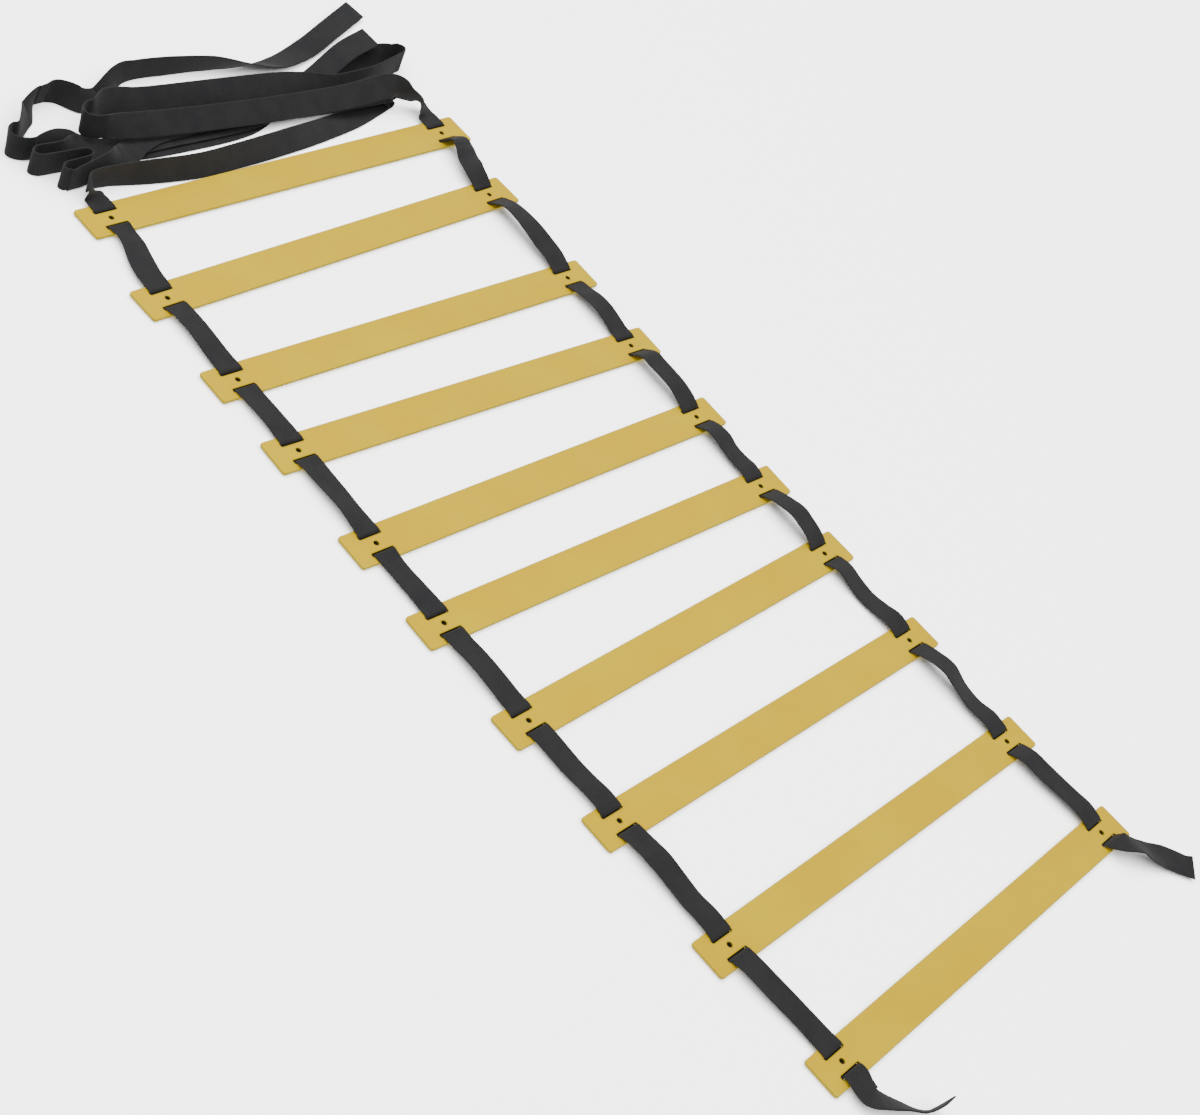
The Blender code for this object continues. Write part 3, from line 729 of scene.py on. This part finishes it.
def tail_line(side, tail):
    """A strap's short free end, from under rung 10's bridge through its front slot to the tip."""
    y = side * STRAP_PLACE
    _, _, across = RUNG_AXES[-1]
    under, under_z = quarter_bend(BRIDGE_WIDTH / 2, WEB_UNDER + WEB_BEND, -1, 0)
    start = np.linspace(0, BRIDGE_WIDTH / 2, BEND_STEPS)[:-1]
    x = np.concatenate([start, under])
    z = np.concatenate([start * 0 + WEB_UNDER, under_z])
    thread = at_rung(RUNG_COUNT, x, y, z)
    along, sideways, height, roll = np.array(tail).T
    along = np.concatenate([[SLOT_MIDDLE, SLOT_MIDDLE], along / MM_PER_M])
    sideways = y + np.concatenate([[0, 0], sideways / MM_PER_M])
    height = np.concatenate([[under_z[-1], RUNG_TOP], height / MM_PER_M])
    roll = np.radians(np.concatenate([[0, 0], roll]))[:, None]
    points = at_rung(RUNG_COUNT, along, sideways, height)
    ahead = np.gradient(points, axis=0)
    level = unit(np.stack([-ahead[:, 1], ahead[:, 0], ahead[:, 0] * 0], -1)[2:])
    level = np.vstack([across, across, level])
    loose, loose_widths = curve_through(points, level * np.cos(roll) + UP * np.sin(roll))
    widths = np.vstack([np.tile(across, (len(thread) - 1, 1)), loose_widths])
    centres = np.vstack([thread[:-1], loose])
    return square_line(*even_stations(centres, widths, SPAN_STATION_GAP))


def add_loose_webbing(material):
    """The two bundles of surplus behind rung 1, and the two free ends past rung 10."""
    loose = (
        ("left", -1, LEFT_LEAD, LEFT_RUNS, LEFT_TAIL, LEFT_LENGTH, LEFT_END_LENGTH),
        ("right", 1, RIGHT_LEAD, RIGHT_RUNS, RIGHT_TAIL, RIGHT_LENGTH, RIGHT_END_LENGTH),
    )
    for side_name, side, lead, runs, tail, length, end_length in loose:
        line, cut = surplus_line(side, lead, runs)
        threaded, free = line[:, : cut + 1], line[:, cut:]
        thread = webbing_strip(f"{side_name}_strap_end_at_rung_1", threaded, material)
        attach(thread, "step_1")
        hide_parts(f"{side_name}_webbing_at_rung_1")
        name = f"{side_name}_strap_surplus"
        surplus = webbing_strip(name, free, material, start=length_of(threaded))
        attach(surplus, "step_1")
        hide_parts(f"{side_name}_webbing_bundle")
        end = webbing_strip(f"{side_name}_strap_free_end", tail_line(side, tail), material)
        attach(end, f"step_{RUNG_COUNT}")
        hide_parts(f"{side_name}_webbing_tail")


def rounded_rectangle(middle_x, middle_y, size_x, size_y, corner):
    """A rectangle's outline with quarter-round corners, and its outward directions."""
    turn = np.linspace(0, math.pi / 2, CORNER_STEPS + 1)
    angles = (turn + math.pi / 2 * np.arange(4)[:, None]).ravel()
    signs = np.repeat(np.array([(1, 1), (-1, 1), (-1, -1), (1, -1)]), CORNER_STEPS + 1, axis=0)
    outwards = np.stack([np.cos(angles), np.sin(angles)], -1)
    half = np.array([size_x / 2 - corner, size_y / 2 - corner])
    return np.array([middle_x, middle_y]) + signs * half + corner * outwards, outwards


def circle(middle_x, middle_y, radius):
    """A circle's outline and its outward directions."""
    angles = 2 * math.pi * np.arange(PEEPHOLE_STEPS) / PEEPHOLE_STEPS
    outwards = np.stack([np.cos(angles), np.sin(angles)], -1)
    return np.array([middle_x, middle_y]) + radius * outwards, outwards


def slat_surface():
    """A slat in its own axes, with its rounded edges.

    Each outline carries an edge profile round it: two quarter rounds joined by the wall, with a
    ring of points further in on each face. The two flat faces fill what lies between the
    innermost rings.

    Returns the points, how near the edge each one is from 0 to 1, how much painted shade darkens
    it on the walls of the slots and peepholes (in the slots also the webbing's black rubbed off),
    the faces, and which are flat.
    """
    outlines = [(*rounded_rectangle(0, 0, RUNG_WIDTH, RUNG_LENGTH, RUNG_CORNER), 1)]
    for _, side in SIDES:
        y = side * STRAP_PLACE
        for end in (-1, 1):
            x = end * SLOT_MIDDLE
            slot = rounded_rectangle(x, y, SLOT_WIDTH, SLOT_LENGTH, SLOT_CORNER)
            outlines.append((*slot, -1))
        outlines.append((*circle(0, y, PEEPHOLE_DIAMETER / 2), -1))
    angles = np.linspace(math.pi / 2, 0, RIM_STEPS + 1)
    inset = np.concatenate([[WORN_BAND], RIM_RADIUS * (1 - np.cos(angles))])
    height = RUNG_THICKNESS / 2 - RIM_RADIUS + RIM_RADIUS * np.sin(angles)
    height = np.concatenate([[RUNG_THICKNESS / 2], height])
    nearness = np.ones(2 * len(inset))
    nearness[[0, -1]] = 0
    # painted shade: how dark the walls of the holes are painted, fading out onto the faces
    blackness = np.ones(len(nearness))
    blackness[[0, -1]] = 0
    blackness[[1, -2]] = HOLE_SHADE_AT_RIM
    inset = np.concatenate([inset, inset[::-1]])
    height = np.concatenate([height, -height[::-1]])
    points, near, black, faces, tops, bottoms, made = [], [], [], [], [], [], 0
    for outline, outwards, sign in outlines:
        rings = outline[None] - sign * inset[:, None, None] * outwards[None]
        levels = np.broadcast_to(height[:, None, None], (*rings.shape[:2], 1))
        points.append(np.concatenate([rings, levels], -1).reshape(-1, 3))
        rows, columns = rings.shape[:2]
        near.append(np.repeat(nearness, columns))
        black.append(np.repeat(blackness * (sign < 0), columns))
        row, column = np.meshgrid(np.arange(rows - 1), np.arange(columns), indexing="ij")
        after = (column + 1) % columns
        corners = [row * columns + column, (row + 1) * columns + column]
        corners += [(row + 1) * columns + after, row * columns + after]
        quads = np.stack(corners if sign > 0 else corners[::-1], -1).reshape(-1, 4) + made
        faces += quads.tolist()
        tops.append(np.arange(columns) + made)
        bottoms.append(np.arange(columns) + made + (rows - 1) * columns)
        made += rows * columns
    points = np.vstack(points)
    rims = len(faces)
    for rings, upwards in ((tops, True), (bottoms, False)):
        order = np.concatenate(rings)
        loops = [[Vector(point) for point in points[ring]] for ring in rings]
        for triangle in tessellate_polygon(loops):
            corners = points[order[list(triangle)]]
            rise = np.cross(corners[1] - corners[0], corners[2] - corners[0])[2]
            turned = triangle if (rise > 0) == upwards else triangle[::-1]
            faces.append(order[list(turned)].tolist())
    return points, np.concatenate(near), np.concatenate(black), faces, range(rims, len(faces))


def add_slats(material):
    """The ten slats. Each has its own stretch of the plastic's pattern."""
    local, near, black, faces, flat_faces = slat_surface()
    lift = (RUNG_BOTTOM + RUNG_TOP) / 2
    corners = np.concatenate([np.array(face) for face in faces])
    for number in range(1, RUNG_COUNT + 1):
        points = at_rung(number, local[:, 0], local[:, 1], local[:, 2] + lift)
        along_slat = local[corners, 1] + number * RUNG_LENGTH
        across_slat = local[corners, 0] + local[corners, 2]
        uvs = np.stack([along_slat, across_slat], -1)
        slat = make_object(f"slat_{number}", points, faces, material, uvs, flat_faces)
        # the second attribute is painted shade on the walls of the slots and peepholes, in the
        # slots also webbing rubbed off
        for name, values in (("edge", near), ("hole shade and rub", black)):
            attribute = slat.data.attributes.new(name, "FLOAT", "POINT")
            attribute.data.foreach_set("value", values.astype(np.float32))
        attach(slat, f"step_{number}")
        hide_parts(f"rung_{number}")


def new_material(name):
    """A material with its tree and its shader."""
    material = bpy.data.materials.new(name)
    material.use_nodes = True
    tree = material.node_tree
    return material, tree, tree.nodes["Principled BSDF"]


def add_node(tree, kind, inputs, **settings):
    """A node with its settings. Each input is a value or another node's output."""
    made = tree.nodes.new(kind)
    for name, value in settings.items():
        setattr(made, name, value)
    for name, value in inputs.items():
        if isinstance(value, bpy.types.NodeSocket):
            tree.links.new(value, made.inputs[name])
        else:
            made.inputs[name].default_value = value
    return made


def sum_of(tree, operation, first, second=0.0, third=0.0):
    """The result of one operation of arithmetic."""
    inputs = {0: first, 1: second, 2: third}
    return add_node(tree, "ShaderNodeMath", inputs, operation=operation).outputs[0]


def ramp(tree, value, low, high, low_result=0.0, high_result=1.0):
    """A value that goes from one result to the other as another one goes from low to high."""
    inputs = {
        "Value": value,
        "From Min": low,
        "From Max": high,
        "To Min": low_result,
        "To Max": high_result,
    }
    return add_node(tree, "ShaderNodeMapRange", inputs, interpolation_type="SMOOTHSTEP").outputs[0]


def blotches(tree, place, scale, detail=2.0, roughness=0.5):
    """A soft random pattern from 0 to 1, of a given fineness."""
    inputs = {"Vector": place, "Scale": scale, "Detail": detail, "Roughness": roughness}
    return add_node(tree, "ShaderNodeTexNoise", inputs).outputs[0]


def blend_colours(tree, share, first, second):
    """One colour that turns into another by a share."""
    inputs = {0: share, 6: first, 7: second}
    return add_node(tree, "ShaderNodeMix", inputs, data_type="RGBA").outputs[2]


def plastic_material():
    """Yellow satin plastic, in a map whose u runs along a slat and v across it, in metres.

    The colour drifts between two yellows in soft patches. Fine lines from handling run mostly
    along the slat, where noise stretched twenty times along it passes a threshold. The skin has
    a fine grain, and the edges are scuffed paler just inside the rim. The rounded rims and walls
    are painted a darker yellow as shade, and the walls of the slots and peepholes are painted near
    black as shade, which in the slots also stands for the webbing's black rubbed off on them.
    """
    material, tree, shader = new_material("yellow plastic")
    place = add_node(tree, "ShaderNodeUVMap", {}, uv_map="along").outputs[0]
    edge = add_node(tree, "ShaderNodeAttribute", {}, attribute_name="edge").outputs["Fac"]
    patches = blotches(tree, place, PATCH_SCALE, detail=3)
    yellow = blend_colours(tree, ramp(tree, patches, *PATCH_RANGE), YELLOW, PALE_YELLOW)
    scuffs = ramp(tree, blotches(tree, place, SCUFF_SCALE, detail=4, roughness=0.65), *SCUFF_RANGE)
    rubbed = sum_of(tree, "MULTIPLY", scuffs, ramp(tree, edge, *SCUFF_EDGE_RANGE))
    rubbed = sum_of(tree, "MULTIPLY", rubbed, SCUFF_SHARE)
    worn = blend_colours(tree, rubbed, yellow, SCUFFED_YELLOW)
    # painted shade: the rounded rims and walls are darkened towards a darker yellow
    rim_shade = sum_of(tree, "MULTIPLY", ramp(tree, edge, *RIM_SHADE_RANGE), RIM_SHADE_SHARE)
    coloured = blend_colours(tree, rim_shade, worn, RIM_SHADE_YELLOW)
    # painted shade: the walls of the slots and peepholes near black, in the slots also webbing
    # rubbed off on them
    blackened = add_node(tree, "ShaderNodeAttribute", {}, attribute_name="hole shade and rub")
    blackened = sum_of(tree, "MULTIPLY", blackened.outputs["Fac"], HOLE_SHADE_SHARE)
    coloured = blend_colours(tree, blackened, coloured, HOLE_SHADE_AND_RUB_BLACK)
    stretch = {"Vector": place, "Scale": LINE_STRETCH}
    stretched = add_node(tree, "ShaderNodeMapping", stretch).outputs[0]
    lines = blotches(tree, stretched, LINE_SCALE, detail=3, roughness=0.6)
    lines = ramp(tree, lines, *LINE_RANGE)
    tree.links.new(coloured, shader.inputs["Base Color"])
    matt = sum_of(tree, "MULTIPLY_ADD", patches, PATCH_ROUGHNESS, PLASTIC_ROUGHNESS)
    matt = sum_of(tree, "MULTIPLY_ADD", lines, LINE_ROUGHNESS, matt)
    matt = sum_of(tree, "MULTIPLY_ADD", rubbed, SCUFF_ROUGHNESS, matt)
    tree.links.new(matt, shader.inputs["Roughness"])
    shader.inputs["Specular IOR Level"].default_value = PLASTIC_GLOSS
    shader.inputs["Specular Tint"].default_value = GLOSS_YELLOW
    grain = blotches(tree, place, GRAIN_SCALE, detail=2)
    height = sum_of(tree, "MULTIPLY_ADD", lines, LINE_RELIEF, grain)
    relief = {"Height": height, "Distance": GRAIN_HEIGHT, "Strength": GRAIN_STRENGTH}
    bump = add_node(tree, "ShaderNodeBump", relief)
    tree.links.new(bump.outputs[0], shader.inputs["Normal"])
    return material


def webbing_material():
    """Black webbing, in a map whose u runs round its section and v along it, in metres.

    It is a plain weave: the height of each crossing is the square root of the size of
    sin(pi u / yarn width) sin(pi v / pick length), and it is lower where the two sines differ
    in sign, where the crossing yarn is on top. The grooves are painted darker as shade, the
    yarns fuzzy and unevenly dyed, and the two selvedges are rubbed paler.
    """
    material, tree, shader = new_material("black webbing")
    place = add_node(tree, "ShaderNodeUVMap", {}, uv_map="along").outputs[0]
    apart = add_node(tree, "ShaderNodeSeparateXYZ", {0: place})
    round_it, along_it = apart.outputs[0], apart.outputs[1]
    solid_place = add_node(tree, "ShaderNodeTexCoord", {}).outputs["Object"]
    warp = sum_of(tree, "SINE", sum_of(tree, "MULTIPLY", round_it, math.pi / YARN_WIDTH))
    weft = sum_of(tree, "SINE", sum_of(tree, "MULTIPLY", along_it, math.pi / PICK_LENGTH))
    crossing = sum_of(tree, "MULTIPLY", warp, weft)
    swell = sum_of(tree, "SQRT", sum_of(tree, "ABSOLUTE", crossing))
    upper = ramp(tree, crossing, *TOP_YARN_RANGE, LOWER_YARN_HEIGHT, 1.0)
    weave = sum_of(tree, "MULTIPLY", swell, upper)
    face = sum_of(tree, "MULTIPLY_ADD", round_it, 1 / HALF_ROUND, EDGE_ROUND / 2 / HALF_ROUND)
    face = sum_of(tree, "SUBTRACT", sum_of(tree, "FRACT", face), 0.5)
    selvedge = ramp(tree, sum_of(tree, "ABSOLUTE", face), *SELVEDGE_RANGE)
    fuzz = blotches(tree, solid_place, FUZZ_SCALE, detail=3, roughness=0.7)
    dye = blotches(tree, solid_place, DYE_SCALE, detail=3)
    # painted shade: the grooves between the yarns are darker than the yarn tops
    yarn = blend_colours(tree, ramp(tree, weave, *GROOVE_SHADE_RANGE), GROOVE_SHADE_BLACK, YARN_BLACK)
    uneven = sum_of(tree, "MULTIPLY", ramp(tree, dye, *DYE_RANGE), DYE_SHARE)
    dyed = blend_colours(tree, uneven, yarn, FADED_BLACK)
    rubbed = sum_of(tree, "MULTIPLY", ramp(tree, fuzz, *FUZZ_RANGE), FUZZ_SHARE)
    rubbed = sum_of(tree, "MULTIPLY_ADD", selvedge, SELVEDGE_SHARE, rubbed)
    coloured = blend_colours(tree, rubbed, dyed, FUZZ_GREY)
    tree.links.new(coloured, shader.inputs["Base Color"])
    matt = sum_of(tree, "MULTIPLY_ADD", fuzz, FUZZ_ROUGHNESS, WEBBING_ROUGHNESS)
    tree.links.new(matt, shader.inputs["Roughness"])
    shader.inputs["Specular IOR Level"].default_value = WEBBING_GLOSS
    shader.inputs["Sheen Weight"].default_value = SHEEN
    shader.inputs["Sheen Roughness"].default_value = SHEEN_ROUGHNESS
    height = sum_of(tree, "MULTIPLY_ADD", fuzz, FUZZ_RELIEF, weave)
    relief = {"Height": height, "Distance": WEAVE_HEIGHT, "Strength": WEAVE_STRENGTH}
    bump = add_node(tree, "ShaderNodeBump", relief)
    tree.links.new(bump.outputs[0], shader.inputs["Normal"])
    return material


def add_floor():
    """A wide pale floor, with a wide soft light of its own that makes it nearly white."""
    size = FLOOR_HALF_SIZE
    mesh = bpy.data.meshes.new("floor")
    corners = [(-size, -size, 0), (size, -size, 0), (size, size, 0), (-size, size, 0)]
    mesh.from_pydata(corners, [], [(0, 1, 2, 3)])
    material, _, shader = new_material("pale floor")
    shader.inputs["Base Color"].default_value = FLOOR_GREY
    shader.inputs["Roughness"].default_value = FLOOR_ROUGHNESS
    shader.inputs["Specular IOR Level"].default_value = 0.0
    mesh.materials.append(material)
    floor = bpy.data.objects.new("floor", mesh)
    floor.visible_diffuse = False
    floor.visible_glossy = False
    bpy.context.scene.collection.objects.link(floor)
    data = bpy.data.lights.new("floor light", "SUN")
    data.energy = FLOOR_LIGHT
    data.angle = math.radians(FLOOR_LIGHT_SPREAD_DEG)
    light = bpy.data.objects.new("floor light", data)
    bpy.context.scene.collection.objects.link(light)
    lit = bpy.data.collections.new("floor only")
    lit.objects.link(floor)
    light.light_linking.receiver_collection = lit


def add_lights():
    """An even white room, and a round softbox that faces the ladder."""
    world = bpy.data.worlds.new("studio")
    world.use_nodes = True
    background = world.node_tree.nodes["Background"]
    background.inputs["Color"].default_value = (1, 1, 1, 1)
    background.inputs["Strength"].default_value = ROOM_LIGHT
    bpy.context.scene.world = world
    data = bpy.data.lights.new("softbox", "AREA")
    data.shape = "DISK"
    data.size = SOFTBOX_SIZE
    data.energy = SOFTBOX_POWER
    light = bpy.data.objects.new("softbox", data)
    turn = (-Vector(SOFTBOX_PLACE)).to_track_quat("-Z", "Y").to_matrix().to_4x4()
    light.matrix_world = Matrix.Translation(SOFTBOX_PLACE) @ turn
    bpy.context.scene.collection.objects.link(light)


add_camera()
webbing = webbing_material()
add_loose_webbing(webbing)
add_spans(webbing)
add_slats(plastic_material())
add_floor()
add_lights()
